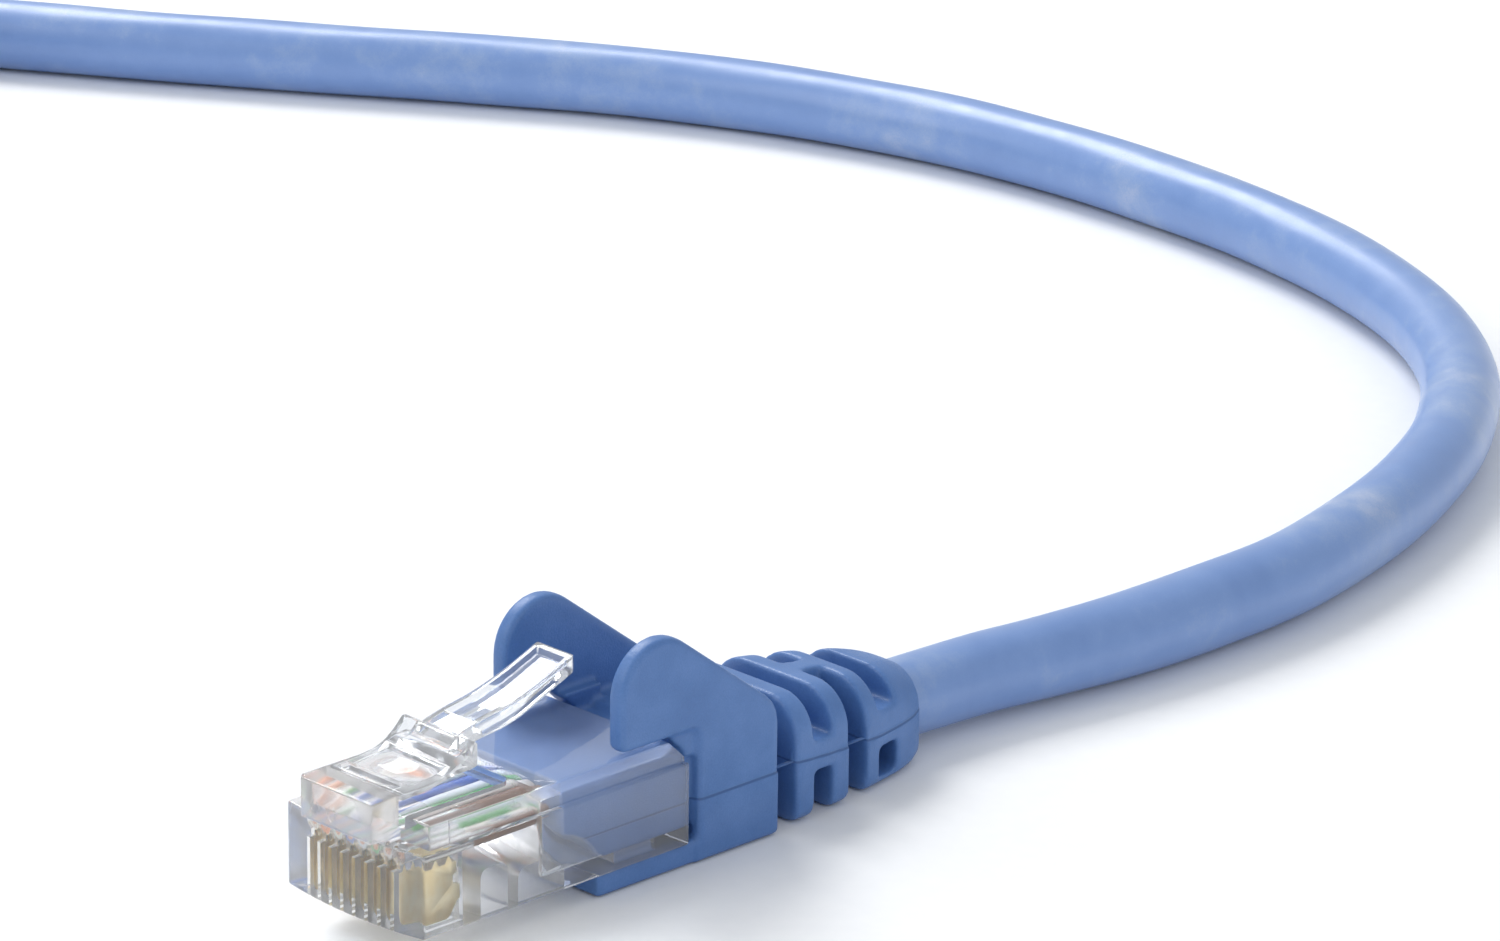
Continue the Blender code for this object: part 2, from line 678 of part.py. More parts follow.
def main():
    clear_scene()
    meshes = {
        "housing": give_slot(housing_mesh()),
        "latch": give_slot(latch_mesh()),
        "boot": give_slot(boot_mesh()),
        "contact": give_slot(contact_mesh()),
        "wire": give_slot(wire_mesh()),
    }
    for side in PLUG_ORIGINS:
        build_plug(side, meshes)
    build_cable()


main()
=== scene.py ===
"""Visual model of an ethernet patch cable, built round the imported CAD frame.

Plug pieces are drawn in millimetres in the plug's own frame: the front of the nose is y = 0, the
underside of the housing is z = 0, x = 0 is the middle, and contact 1 is on the -X side. Each piece is
drawn once and stands at both ends of the cable.
"""

import math

import bmesh
import bpy
import numpy as np
from mathutils import Matrix, Vector


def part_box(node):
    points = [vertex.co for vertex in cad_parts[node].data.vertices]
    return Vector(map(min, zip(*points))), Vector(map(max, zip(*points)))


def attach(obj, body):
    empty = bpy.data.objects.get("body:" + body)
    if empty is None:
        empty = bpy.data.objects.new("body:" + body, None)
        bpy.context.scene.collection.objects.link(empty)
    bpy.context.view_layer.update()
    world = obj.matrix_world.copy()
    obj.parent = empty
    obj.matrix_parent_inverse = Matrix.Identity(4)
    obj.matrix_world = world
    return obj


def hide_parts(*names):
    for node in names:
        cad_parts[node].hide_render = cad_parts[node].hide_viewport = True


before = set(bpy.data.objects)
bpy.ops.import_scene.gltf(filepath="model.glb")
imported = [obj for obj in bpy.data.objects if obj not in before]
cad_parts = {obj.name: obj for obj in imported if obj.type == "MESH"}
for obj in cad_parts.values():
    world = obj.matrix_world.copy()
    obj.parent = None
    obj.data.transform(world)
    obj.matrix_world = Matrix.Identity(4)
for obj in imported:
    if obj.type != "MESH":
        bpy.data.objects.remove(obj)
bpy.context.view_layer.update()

MM = 0.001
ROOT = "cable_and_plugs"
SIDES = ("near", "far")

# Camera, with its place in metres and its lens in millimetres.
CAMERA_PLACE = (0.29312, -0.27963, 0.16690)
CAMERA_AZIMUTH = math.radians(45.293)
CAMERA_ELEVATION = math.radians(19.522)
CAMERA_ROLL = math.radians(0.606)
CAMERA_LENS = 177.65
SENSOR_WIDTH = 36.0
CLIP_START, CLIP_END = 0.01, 20.0

# Studio: each light's name, place, the point it faces and its size in metres, and its power in watts.
LIGHTS = [
    ("key", (-0.66, 0.20, 0.70), (-0.05, 0.05, 0.0), 0.45, 5.6),
    ("front", (-0.45, -0.85, 0.70), (0.0, 0.0, 0.0), 0.70, 3.3),
    ("fill", (0.95, -0.10, 0.55), (0.0, 0.0, 0.0), 0.50, 1.2),
]
SKY_COLOUR = (0.93, 0.96, 1.0, 1.0)
SKY_STRENGTH = 0.62
FLOOR_HEIGHT = -0.00008
FLOOR_REACH = 4.0

# Cable route, in metres: the lead from the near boot to the coil, and the tail to the far boot.
CABLE_RADIUS = 0.00275
CABLE_NECK_RADIUS = 0.00252
CABLE_STEP = 0.001
CABLE_SIDES = 40
LEAD_ROUTE = [
    (0.0, 0.0209, 0.00288), (0.0001, 0.0245, 0.00284), (0.0004, 0.0300, 0.00279),
    (0.0011, 0.0347, 0.00275), (0.0019, 0.0417, 0.00275), (0.0021, 0.0492, 0.00275),
    (0.0015, 0.0582, 0.00275), (-0.0008, 0.0677, 0.00275), (-0.0043, 0.0772, 0.00275),
    (-0.0096, 0.0870, 0.00275), (-0.0173, 0.0963, 0.00275), (-0.0272, 0.1035, 0.00275),
    (-0.0388, 0.1085, 0.00275), (-0.0510, 0.1113, 0.00275), (-0.0640, 0.1125, 0.00275),
    (-0.0770, 0.1122, 0.00275), (-0.0890, 0.1099, 0.00275), (-0.1005, 0.1059, 0.00275),
    (-0.1120, 0.0999, 0.00275), (-0.1240, 0.0920, 0.00275), (-0.1370, 0.0834, 0.00275),
    (-0.1505, 0.0752, 0.00275), (-0.1675, 0.0653, 0.00275),
]
TAIL_ROUTE = [
    (-0.1487, 0.0555, 0.00775), (-0.1566, 0.0606, 0.00835), (-0.1644, 0.0633, 0.00865),
    (-0.1733, 0.0641, 0.00865), (-0.1820, 0.0627, 0.00825), (-0.1902, 0.0592, 0.00745),
    (-0.1974, 0.0540, 0.00645), (-0.2023, 0.0482, 0.00560), (-0.2070, 0.0420, 0.00440),
    (-0.2097, 0.0376, 0.00370), (-0.2115, 0.0333, 0.00320), (-0.2126, 0.0287, 0.00295),
    (-0.2130, 0.0223, 0.00290),
]

# Coil: angles run on from turn to turn, in degrees anticlockwise seen from above. Each move starts at
# one angle, ends at another, and adds so many metres to the radius or the height on the way.
COIL_CENTRE = (-0.1720, 0.0277)
COIL_START = 120
COIL_END = 1475
COIL_STEP = 12
COIL_RADIUS = 0.0303
COIL_RADIUS_MOVES = [(410, 480, -0.0056), (1060, 1150, 0.0056), (1380, 1470, 0.0060)]
COIL_HEIGHT_MOVES = [(730, 830, 0.0056), (1410, 1475, -0.00075)]
TIE_ANGLE = 250
TIE_LIFT = 0.00085
TIE_LIFT_SPREAD = 38
TIE_HALF_SPREAD = 9

# Conductors: the name, base colour and stripe colour of each, in the usual order of a modular plug.
CONDUCTORS = [
    ("white_orange", (0.80, 0.74, 0.66), (0.86, 0.27, 0.05)),
    ("orange", (0.86, 0.27, 0.05), (0.90, 0.34, 0.09)),
    ("white_green", (0.74, 0.80, 0.72), (0.06, 0.36, 0.08)),
    ("blue", (0.03, 0.12, 0.52), (0.05, 0.17, 0.60)),
    ("white_blue", (0.74, 0.79, 0.86), (0.03, 0.12, 0.52)),
    ("green", (0.05, 0.36, 0.07), (0.08, 0.42, 0.10)),
    ("white_brown", (0.76, 0.72, 0.67), (0.17, 0.07, 0.03)),
    ("brown", (0.17, 0.07, 0.03), (0.22, 0.10, 0.05)),
]
CONTACTS = 8
CONTACT_PITCH = 1.02
WIRE_HEIGHT = 4.45

# Latch: the y and z of its hinge.
HINGE_Y, HINGE_Z = 2.46, 7.72

# Boot: its underside, how finely its solids are fused, how often it and its strain relief are smoothed,
# and the share of its faces that is kept.
BOOT_UNDERSIDE = -1.45
BOOT_VOXEL = 0.13
BOOT_SMOOTHING = 5
RELIEF_SMOOTHING = 14
BOOT_FACES_KEPT = 0.45

# The parting line runs level at the first height up to the first y, and at the second from the second
# y on: first y, second y, first height, second height.
PARTING_LINE = (32.0, 39.5, 2.5, 1.9)


# ---------------------------------------------------------------- camera

def build_camera():
    """Stand the camera at the viewing angle."""
    sin_a, cos_a = math.sin(CAMERA_AZIMUTH), math.cos(CAMERA_AZIMUTH)
    sin_e, cos_e = math.sin(CAMERA_ELEVATION), math.cos(CAMERA_ELEVATION)
    forward = Vector((-sin_a * cos_e, cos_a * cos_e, -sin_e))
    level = Vector((cos_a, sin_a, 0.0))
    rise = level.cross(forward)
    right = level * math.cos(CAMERA_ROLL) + rise * math.sin(CAMERA_ROLL)
    up = rise * math.cos(CAMERA_ROLL) - level * math.sin(CAMERA_ROLL)
    data = bpy.data.cameras.new("camera")
    data.sensor_width = SENSOR_WIDTH
    data.lens = CAMERA_LENS
    data.clip_start, data.clip_end = CLIP_START, CLIP_END
    camera = bpy.data.objects.new("camera", data)
    bpy.context.scene.collection.objects.link(camera)
    turn = Matrix((right, up, -forward)).transposed().to_4x4()
    camera.matrix_world = Matrix.Translation(Vector(CAMERA_PLACE)) @ turn
    bpy.context.scene.camera = camera


# ---------------------------------------------------------------- mesh helpers

def add_object(name, mesh):
    """Put a mesh in the scene under a name."""
    thing = bpy.data.objects.new(name, mesh)
    bpy.context.scene.collection.objects.link(thing)
    return thing


def solid(name, points, faces):
    """Make an object from points and faces, with its faces pointing out."""
    mesh = bpy.data.meshes.new(name)
    mesh.from_pydata([tuple(point) for point in points], [], faces)
    shape = bmesh.new()
    shape.from_mesh(mesh)
    bmesh.ops.recalc_face_normals(shape, faces=shape.faces)
    shape.to_mesh(mesh)
    shape.free()
    return add_object(name, mesh)


def loft(name, rings):
    """Join rings of points, all of the same count, into one solid with flat ends."""
    count = len(rings[0])
    points = [point for ring in rings for point in ring]
    faces = []
    for row in range(len(rings) - 1):
        here, there = row * count, (row + 1) * count
        for index in range(count):
            after = (index + 1) % count
            faces.append((here + index, here + after, there + after, there + index))
    faces.append(tuple(range(count)))
    faces.append(tuple(range(len(points) - count, len(points))))
    return solid(name, points, faces)


def prism(name, outline, axis, start, end, bevel=0.0, segments=2, angle=40.0):
    """Extrude a closed outline along X, Y or Z, and round its edges.

    The outline's points are (y, z) for axis X, (x, z) for axis Y and (x, y) for axis Z.
    """
    place = {
        "X": lambda first, second, depth: (depth, first, second),
        "Y": lambda first, second, depth: (first, depth, second),
        "Z": lambda first, second, depth: (first, second, depth),
    }[axis]
    body = loft(name, [[place(*point, depth) for point in outline] for depth in (start, end)])
    if bevel:
        soften(body, bevel, segments, angle)
    return body


def box(name, low, high, bevel=0.0, segments=2):
    """Make a box between two corners."""
    outline = [(low[0], low[1]), (high[0], low[1]), (high[0], high[1]), (low[0], high[1])]
    return prism(name, outline, "Z", low[2], high[2], bevel, segments)


def soften(body, width, segments=2, angle=40.0):
    """Round every edge of a body that bends by more than an angle, in degrees."""
    modifier = body.modifiers.new("edges", "BEVEL")
    modifier.width = width
    modifier.segments = segments
    modifier.limit_method = "ANGLE"
    modifier.angle_limit = math.radians(angle)
    modifier.miter_outer = "MITER_ARC"


def combine(body, tools, operation):
    """Add a Boolean of each tool to the body, and return the body."""
    for tool in tools:
        modifier = body.modifiers.new(tool.name, "BOOLEAN")
        modifier.operation = operation
        modifier.solver = "EXACT"
        modifier.object = tool
    return body


def tools_of(body):
    """Return every object that a body's Booleans use, down through the tools' own tools."""
    tools = [modifier.object for modifier in body.modifiers if modifier.type == "BOOLEAN"]
    return tools + [deeper for tool in tools for deeper in tools_of(tool)]


def baked(body):
    """Apply a body's modifiers, remove it and its tools, and return the mesh."""
    bpy.context.view_layer.update()
    graph = bpy.context.evaluated_depsgraph_get()
    mesh = bpy.data.meshes.new_from_object(body.evaluated_get(graph))
    mesh.name = body.name
    for thing in [body, *tools_of(body)]:
        bpy.data.objects.remove(thing, do_unlink=True)
    return mesh


def to_metres(mesh, smooth_angle=35.0):
    """Scale a mesh drawn in millimetres, and shade it smooth but for edges above the angle, if any."""
    mesh.transform(Matrix.Scale(MM, 4))
    mesh.shade_smooth()
    if smooth_angle:
        mesh.set_sharp_from_angle(angle=math.radians(smooth_angle))
    return mesh


def arc(centre, radius, start, end, steps):
    """Return points along an arc, both ends included; angles are in degrees."""
    return [(centre[0] + radius * math.cos(math.radians(start + (end - start) * step / steps)),
             centre[1] + radius * math.sin(math.radians(start + (end - start) * step / steps)))
            for step in range(steps + 1)]


def smooth_line(points, pieces):
    """Return points on a smooth curve through the given ones, with this many pieces between each."""
    knots = [np.array(point, float) for point in points]
    knots = [2 * knots[0] - knots[1], *knots, 2 * knots[-1] - knots[-2]]
    line = []
    for before, start, end, after in zip(knots, knots[1:], knots[2:], knots[3:]):
        for piece in range(pieces):
            t = piece / pieces
            line.append(0.5 * (2 * start + (end - before) * t
                               + (2 * before - 5 * start + 4 * end - after) * t ** 2
                               + (3 * start - before - 3 * end + after) * t ** 3))
    line.append(knots[-2])
    return np.array(line)


def evenly(line, spacing):
    """Return points evenly spaced along a line, and how far along it each lies."""
    lengths = np.concatenate([[0.0], np.cumsum(np.linalg.norm(np.diff(line, axis=0), axis=1))])
    count = round(lengths[-1] / spacing)
    marks = np.linspace(0.0, lengths[-1], count + 1)
    return np.column_stack([np.interp(marks, lengths, line[:, axis]) for axis in range(3)]), marks


def ease(value, start, end):
    """Rise smoothly from 0 at start to 1 at end."""
    share = min(1.0, max(0.0, (value - start) / (end - start)))
    return share * share * (3 - 2 * share)


# ---------------------------------------------------------------- material helpers

class Recipe:
    """A Principled material under construction."""

    def __init__(self, name, **constants):
        self.material = bpy.data.materials.new(name)
        self.material.use_nodes = True
        self.tree = self.material.node_tree
        self.shader = self.tree.nodes["Principled BSDF"]
        self.place = self.node("ShaderNodeTexCoord").outputs["Object"]
        for socket, value in constants.items():
            self.shader.inputs[socket.replace("_", " ")].default_value = value

    def node(self, kind, **settings):
        """Add a node and set its properties."""
        node = self.tree.nodes.new(kind)
        for name, value in settings.items():
            setattr(node, name, value)
        return node

    def link(self, output, target, socket):
        self.tree.links.new(output, target.inputs[socket])

    def stretched(self, scale):
        """Return the piece's own coordinates, multiplied along each axis."""
        mapping = self.node("ShaderNodeMapping")
        mapping.inputs["Scale"].default_value = scale
        self.link(self.place, mapping, "Vector")
        return mapping.outputs["Vector"]

    def noise(self, scale, detail=3.0, roughness=0.5, distortion=0.0, vector=None):
        node = self.node("ShaderNodeTexNoise")
        node.inputs["Scale"].default_value = scale
        node.inputs["Detail"].default_value = detail
        node.inputs["Roughness"].default_value = roughness
        node.inputs["Distortion"].default_value = distortion
        self.link(self.place if vector is None else vector, node, "Vector")
        return node.outputs["Fac"]

    def ramp(self, value, stops):
        """Map a value through (position, colour) stops."""
        node = self.node("ShaderNodeValToRGB")
        elements = node.color_ramp.elements
        while len(elements) < len(stops):
            elements.new(0.5)
        for element, (position, colour) in zip(elements, stops):
            element.position = position
            element.color = (*colour, 1.0)
        self.link(value, node, "Fac")
        return node.outputs["Color"]

    def math(self, operation, first, second=None):
        """Work out one value from numbers or outputs."""
        node = self.node("ShaderNodeMath", operation=operation)
        for index, value in enumerate((first, second)):
            if value is None:
                continue
            if isinstance(value, (int, float)):
                node.inputs[index].default_value = value
            else:
                self.link(value, node, index)
        return node.outputs["Value"]

    def remap(self, value, *limits):
        """Move a value from one range to another; the limits are from, from, to and to."""
        node = self.node("ShaderNodeMapRange")
        for socket, limit in zip(("From Min", "From Max", "To Min", "To Max"), limits):
            node.inputs[socket].default_value = limit
        self.link(value, node, "Value")
        return node.outputs["Result"]

    def spread(self, noise, low, high):
        """Spread noise, which keeps mostly to its middle values, over a range."""
        return self.remap(noise, 0.3, 0.7, low, high)

    def axes(self):
        """Return the piece's own X, Y and Z."""
        node = self.node("ShaderNodeSeparateXYZ")
        self.link(self.place, node, "Vector")
        return (node.outputs[axis] for axis in "XYZ")

    def bump(self, *layers):
        """Stack (height, strength, distance) layers of bump."""
        normal = None
        for height, strength, distance in layers:
            node = self.node("ShaderNodeBump")
            node.inputs["Strength"].default_value = strength
            node.inputs["Distance"].default_value = distance
            self.link(height, node, "Height")
            if normal is not None:
                self.link(normal, node, "Normal")
            normal = node.outputs["Normal"]
        self.link(normal, self.shader, "Normal")

    def colour(self, output):
        self.link(output, self.shader, "Base Color")

    def roughness(self, output):
        self.link(output, self.shader, "Roughness")


def clear_plastic(name, tint, clearness, smoothest, roughest):
    """Slightly milky moulded polycarbonate with flow lines and handling marks, which lets lamps through.

    The roughness runs from smoothest to roughest with the handling marks.
    """
    lamp_tint = (0.95, 0.96, 0.975, 1.0)
    recipe = Recipe(name, Transmission_Weight=clearness, IOR=1.52)
    through = recipe.node("ShaderNodeBsdfTransparent")
    through.inputs["Color"].default_value = lamp_tint
    mix = recipe.node("ShaderNodeMixShader")
    rays = recipe.node("ShaderNodeLightPath")
    recipe.link(rays.outputs["Is Shadow Ray"], mix, "Fac")
    recipe.link(recipe.shader.outputs["BSDF"], mix, 1)
    recipe.link(through.outputs["BSDF"], mix, 2)
    recipe.link(mix.outputs["Shader"], recipe.tree.nodes["Material Output"], "Surface")
    flow = recipe.noise(1.0, 2.0, 0.5, 0.6, recipe.stretched((420.0, 130.0, 420.0)))
    marks = recipe.noise(1900.0, 2.0, 0.5)
    paler = tuple(min(1.0, channel + 0.03) for channel in tint)
    recipe.colour(recipe.ramp(flow, [(0.35, tint), (0.65, paler)]))
    recipe.roughness(recipe.spread(marks, smoothest, roughest))
    recipe.bump((flow, 0.35, 0.00006), (marks, 0.06, 0.00001))
    return recipe.material


def boot_plastic():
    """Soft blue moulded plastic with a fine satin grain, and painted shade along the parting line standing
    in for the shade in its small step.
    """
    shaded_line_half_width, shaded_line_faded = 0.00003, 0.00009
    recipe = Recipe("boot_plastic", IOR=1.5, Specular_IOR_Level=0.45)
    grain = recipe.noise(8200.0, 2.0, 0.6)
    cloud = recipe.noise(260.0, 5.0, 0.6)
    waves = recipe.noise(800.0, 2.0, 0.5)
    mixed = recipe.math("ADD", recipe.math("MULTIPLY", cloud, 0.65), recipe.math("MULTIPLY", grain, 0.35))
    colours = recipe.ramp(mixed, [(0.34, (0.066, 0.158, 0.390)), (0.50, (0.081, 0.184, 0.436)),
                                  (0.66, (0.104, 0.215, 0.486))])
    recipe.roughness(recipe.spread(grain, 0.30, 0.52))

    _, along, height = recipe.axes()
    parting = recipe.remap(along, *(limit * MM for limit in PARTING_LINE))
    apart = recipe.math("ABSOLUTE", recipe.math("SUBTRACT", height, parting))
    off_shaded_line = recipe.remap(apart, shaded_line_half_width, shaded_line_faded, 0.0, 1.0)
    # Painted shade: along the parting line the colour goes to this darker blue, standing in for the shade
    # in the line's step.
    shade = recipe.node("ShaderNodeMix", data_type="RGBA")
    shade.inputs["A"].default_value = (0.046, 0.112, 0.290, 1.0)
    recipe.link(off_shaded_line, shade, "Factor")
    recipe.link(colours, shade, "B")
    recipe.colour(shade.outputs["Result"])
    recipe.bump((waves, 0.25, 0.00003), (grain, 0.55, 0.00003), (off_shaded_line, 0.6, 0.00004))
    return recipe.material


def jacket_plastic():
    """Glossy blue cable jacket with pale cloudy patches, and chalky wear where it leaves the near boot."""
    boot_exit, wear_reach, wear_paleness = (0.0, 0.0225, 0.003), 0.015, 0.07
    recipe = Recipe("jacket_plastic", IOR=1.5, Coat_Weight=0.6, Coat_Roughness=0.30)
    cloud = recipe.noise(75.0, 3.0, 0.55, 0.5)
    haze = recipe.noise(520.0, 3.0, 0.6)
    grain = recipe.noise(7400.0, 0.0)
    ripple = recipe.noise(240.0, 2.0, 0.4, 0.3)
    apart = recipe.node("ShaderNodeVectorMath", operation="DISTANCE")
    recipe.link(recipe.place, apart, 0)
    apart.inputs[1].default_value = boot_exit
    wear = recipe.remap(apart.outputs["Value"], wear_reach, 0.0, 0.0, wear_paleness)
    mixed = recipe.math("ADD", recipe.math("MULTIPLY", cloud, 0.66), recipe.math("MULTIPLY", haze, 0.28))
    mixed = recipe.math("ADD", mixed, recipe.math("MULTIPLY", grain, 0.06))
    mixed = recipe.math("ADD", mixed, wear)
    recipe.colour(recipe.ramp(mixed, [(0.38, (0.145, 0.262, 0.555)), (0.52, (0.170, 0.292, 0.590)),
                                      (0.60, (0.225, 0.340, 0.600)), (0.72, (0.390, 0.465, 0.650))]))
    recipe.roughness(recipe.spread(haze, 0.34, 0.54))
    recipe.bump((ripple, 0.3, 0.00012), (haze, 0.20, 0.00005), (grain, 0.2, 0.000015))
    return recipe.material


def contact_gold():
    """Gold-plated contact with fine blanking lines."""
    recipe = Recipe("contact_gold", Metallic=1.0)
    lines = recipe.noise(1.0, 3.0, 0.6, 0.0, recipe.stretched((300.0, 600.0, 9000.0)))
    tarnish = recipe.noise(900.0, 3.0, 0.5)
    recipe.colour(recipe.ramp(tarnish, [(0.35, (0.90, 0.72, 0.38)), (0.65, (0.97, 0.84, 0.54))]))
    recipe.roughness(recipe.spread(lines, 0.30, 0.46))
    recipe.bump((lines, 0.1, 0.000004))
    return recipe.material


def copper():
    """Cut end of a copper strand."""
    recipe = Recipe("copper", Metallic=1.0)
    strands = recipe.noise(5200.0, 2.0, 0.5)
    recipe.colour(recipe.ramp(strands, [(0.4, (0.62, 0.26, 0.12)), (0.6, (0.93, 0.53, 0.34))]))
    recipe.roughness(recipe.spread(strands, 0.22, 0.42))
    recipe.bump((strands, 0.4, 0.00003))
    return recipe.material


def insulation(name, base, stripe):
    """Conductor insulation with a stripe that winds slowly round it."""
    radians_per_metre = 420.0
    recipe = Recipe(f"insulation_{name}", IOR=1.5, Subsurface_Weight=0.08, Subsurface_Scale=0.0003)
    across, along, height = recipe.axes()
    winding = recipe.math("ADD", recipe.math("ARCTAN2", across, height),
                          recipe.math("MULTIPLY", along, radians_per_metre))
    wave = recipe.math("SINE", winding)
    mottle = recipe.noise(1500.0, 3.0, 0.5)
    edge = recipe.math("ADD", wave, recipe.math("MULTIPLY", mottle, 0.12))
    recipe.colour(recipe.ramp(edge, [(0.78, base), (0.86, stripe)]))
    recipe.roughness(recipe.spread(mottle, 0.26, 0.42))
    recipe.bump((mottle, 0.15, 0.00002))
    return recipe.material


def strap_fabric():
    """Black woven hook-and-loop strap with a fuzzy face."""
    recipe = Recipe("strap_fabric", Sheen_Weight=0.5, Sheen_Roughness=0.5, IOR=1.4)
    across = recipe.node("ShaderNodeTexWave", wave_type="BANDS", bands_direction="Z")
    across.inputs["Scale"].default_value = 900.0
    across.inputs["Distortion"].default_value = 2.0
    recipe.link(recipe.place, across, "Vector")
    fuzz = recipe.noise(3600.0, 4.0, 0.7)
    thread = recipe.math("MULTIPLY", across.outputs["Fac"], fuzz)
    recipe.colour(recipe.ramp(thread, [(0.15, (0.010, 0.010, 0.012)), (0.55, (0.045, 0.046, 0.052))]))
    recipe.roughness(recipe.spread(fuzz, 0.72, 0.95))
    recipe.bump((thread, 0.8, 0.00012), (fuzz, 0.6, 0.00008))
    return recipe.material


def floor_paper():
    """Seamless white studio paper."""
    recipe = Recipe("floor_paper", IOR=1.4, Specular_IOR_Level=0.2)
    fibre = recipe.noise(700.0, 4.0, 0.6)
    recipe.colour(recipe.ramp(fibre, [(0.3, (0.915, 0.920, 0.925)), (0.7, (0.935, 0.938, 0.940))]))
    recipe.roughness(recipe.spread(fibre, 0.60, 0.75))
    recipe.bump((fibre, 0.05, 0.00005))
    return recipe.material


# ---------------------------------------------------------------- cable

def coil_line():
    """Return points round the coil's turns."""
    points = []
    for angle in range(COIL_START, COIL_END + 1, COIL_STEP):
        radius = COIL_RADIUS + sum(size * ease(angle, start, end)
                                   for start, end, size in COIL_RADIUS_MOVES)
        height = CABLE_RADIUS + sum(size * ease(angle, start, end)
                                    for start, end, size in COIL_HEIGHT_MOVES)
        from_tie = (angle - TIE_ANGLE + 180) % 360 - 180
        height += TIE_LIFT * (1 - ease(abs(from_tie), TIE_HALF_SPREAD, TIE_LIFT_SPREAD))
        turn = math.radians(angle)
        points.append((COIL_CENTRE[0] + radius * math.cos(turn),
                       COIL_CENTRE[1] + radius * math.sin(turn), height))
    return points


def build_cable(jacket):
    """Sweep the jacket along the whole route, with the lumps that the twisted pairs press into it.

    Return the cable and its centre line.
    """
    lobe_height, lobe_pitch = 0.000018, 0.019
    lump_height, lump_pitch = 0.000014, 0.0147
    room_for_lumps = 0.00003
    line, marks = evenly(smooth_line([*LEAD_ROUTE, *coil_line(), *TAIL_ROUTE], 16), CABLE_STEP)
    tangents = np.gradient(line, axis=0)
    tangents /= np.linalg.norm(tangents, axis=1)[:, None]
    side = np.cross(tangents, (0.0, 0.0, 1.0))
    side /= np.linalg.norm(side, axis=1)[:, None]
    upward = np.cross(side, tangents)
    rings = []
    total = marks[-1]
    for point, along, across, rise in zip(line, marks, side, upward):
        from_end = min(along, total - along)
        radius = CABLE_NECK_RADIUS + (CABLE_RADIUS - CABLE_NECK_RADIUS) * ease(from_end, 0.004, 0.030)
        ring = []
        for step in range(CABLE_SIDES):
            turn = 2 * math.pi * step / CABLE_SIDES
            lobes = lobe_height * math.cos(4 * turn - 2 * math.pi * along / lobe_pitch)
            lumps = lump_height * math.sin(turn + 2 * math.pi * along / lump_pitch)
            reach = radius - room_for_lumps + lobes + lumps
            ring.append(point + reach * (math.cos(turn) * across + math.sin(turn) * rise))
        rings.append(ring)
    cable = loft("cable", rings)
    cable.data.shade_smooth()
    cable.data.materials.append(jacket)
    return cable, line


def build_strap(fabric):
    """Wrap a strap round the coil, with its free end lapped over the outside."""
    half_width = 5.6
    middle_radius, low, high, corner = 27.5, 0.85, 11.8, 2.6
    gap, thickness, columns = 0.12, 0.62, 10

    def section(margin, angle):
        """Return one line round the coil's bundle, this far outside it, in an upright plane."""
        reach = corner + margin
        inner, outer = middle_radius - half_width - margin, middle_radius + half_width + margin
        bottom, top = low - margin, high + margin
        around = [(outer, height) for height in np.linspace(bottom + 0.6 * (top - bottom), top - reach, 4)]
        around += arc((outer - reach, top - reach), reach, 0, 90, 8)
        around += arc((inner + reach, top - reach), reach, 90, 180, 8)
        around += arc((inner + reach, bottom + reach), reach, 180, 270, 8)
        around += arc((outer - reach, bottom + reach), reach, 270, 360, 8)
        around += [(outer, height) for height in np.linspace(bottom + reach, top - reach, 8)[1:-1]]
        around += arc((outer - reach, top - reach), reach, 0, 90, 8)
        around += [(outer - reach - across, top) for across in (1.0, 2.0, 3.0)]
        count = len(around)
        lapped = []
        for index, (radius, height) in enumerate(around):
            lift = 0.66 * ease(index / count, 0.70, 0.80)
            from_middle = np.array((radius - middle_radius, height - (low + high) / 2))
            outward = from_middle / np.linalg.norm(from_middle)
            radius, height = radius + outward[0] * lift, height + outward[1] * lift
            lapped.append((COIL_CENTRE[0] / MM + radius * math.cos(angle),
                           COIL_CENTRE[1] / MM + radius * math.sin(angle), height))
        return lapped

    inner, outer = [], []
    for column in range(columns + 1):
        angle = math.radians(TIE_ANGLE + TIE_HALF_SPREAD * (2 * column / columns - 1))
        inner.append(section(gap, angle))
        outer.append(section(gap + thickness, angle))
    rings = [[column[index] for column in outer] + [column[index] for column in inner[::-1]]
             for index in range(len(inner[0]))]
    strap = loft("strap", rings)
    soften(strap, 0.12, 2, 50.0)
    piece = add_object("strap", to_metres(baked(strap), 50.0))
    piece.data.materials.append(fabric)
    return piece


# ---------------------------------------------------------------- plug housing

def front_outline():
    """Return the lower body's outline from above, with its gently bowed front."""
    corner, half_width = 0.3, 5.84
    inner = half_width - corner
    shares = [step / 12 - 1 for step in range(25)]
    bow = [(inner * share, 1.35 - 0.5 * (1 - share ** 2)) for share in shares]
    right = arc((inner, 1.65), corner, -60, 0, 4)
    left = arc((-inner, 1.65), corner, 180, 240, 4)
    return bow + right + [(half_width, 22.4), (-half_width, 22.4)] + left


def round_slot(name, half_width, front, rear, bottom, top, radius):
    """Make a cutter along X with round upper corners."""
    outline = [(front, bottom), (rear, bottom)]
    outline += arc((rear - radius, top - radius), radius, 0, 90, 6)
    outline += arc((front + radius, top - radius), radius, 90, 180, 6)
    return prism(name, outline, "X", -half_width, half_width)


def contact_x(index):
    """Return how far across the plug a contact and its conductor stand, counted from 0."""
    return (index - (CONTACTS - 1) / 2) * CONTACT_PITCH


